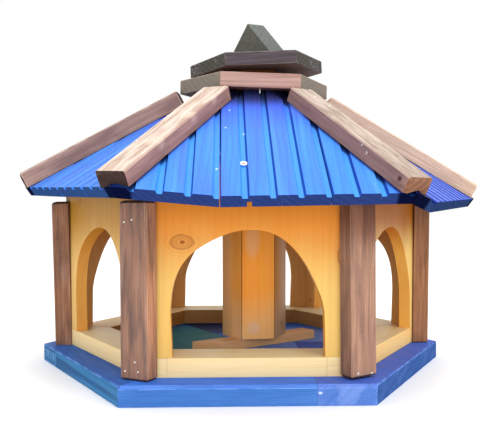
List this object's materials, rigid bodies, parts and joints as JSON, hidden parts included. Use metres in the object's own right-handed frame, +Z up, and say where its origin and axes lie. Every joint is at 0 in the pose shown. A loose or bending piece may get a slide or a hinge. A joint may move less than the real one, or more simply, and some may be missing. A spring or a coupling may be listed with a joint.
{
  "type": "bird feeder",
  "caption": "Six-sided wooden bird feeder with a stained plinth, arched walls, corner battens, a boarded roof with ridge battens, a seed silo and a lift-off lid.",
  "frame": {"origin": "centre of the underside of the hexagonal plinth, where it rests", "axes": "+Z up, +X towards the right-hand corner, -Y out of the front arch that the picture shows"},
  "size_m": [0.576, 0.5115, 0.4244],
  "materials": {
    "blue_stain": "blue translucent wood stain, matt to satin, grain showing",
    "pale_pine": "clear-coated pale pine",
    "amber_pine": "amber-tinted clear-coated pine",
    "brown_stain": "brown wood stain, worn pale on the upper faces",
    "cap_stain": "faded brown wood stain",
    "dark_stain": "dark brown-black wood stain",
    "silo_wood": "bare orange-tan softwood",
    "bare_offcut": "bare pinkish softwood"
  },
  "bodies": {
    "feeder": {"base_board_left": "blue_stain", "base_board_front": "blue_stain", "base_board_back": "blue_stain", "sill_front": "pale_pine", "sill_front_right": "pale_pine", "sill_back_right": "pale_pine", "sill_back": "pale_pine", "sill_back_left": "pale_pine", "sill_front_left": "pale_pine", "wall_front": "amber_pine", "wall_front_right": "amber_pine", "wall_back_right": "amber_pine", "wall_back": "amber_pine", "wall_back_left": "amber_pine", "wall_front_left": "amber_pine", "post_right": "brown_stain", "post_back_right": "brown_stain", "post_back_left": "brown_stain", "post_left": "brown_stain", "post_front_left": "brown_stain", "post_front_right": "brown_stain", "roof_front": "blue_stain", "roof_front_right": "blue_stain", "roof_back_right": "blue_stain", "roof_back": "blue_stain", "roof_back_left": "blue_stain", "roof_front_left": "blue_stain", "ridge_right": "brown_stain", "ridge_back_right": "brown_stain", "ridge_back_left": "brown_stain", "ridge_left": "brown_stain", "ridge_front_left": "brown_stain", "ridge_front_right": "brown_stain", "cap_plate": "cap_stain", "silo_tube": "silo_wood", "silo_bearer": "bare_offcut"},
    "lid": {"lid_board": "dark_stain", "lid_plug": "dark_stain", "lid_knob": "dark_stain"}
  },
  "joints": [
    {"name": "lid_lift", "type": "slide", "parent": "feeder", "child": "lid", "axis": [0, 0, 1], "range_m": [0, 0.12]}
  ]
}
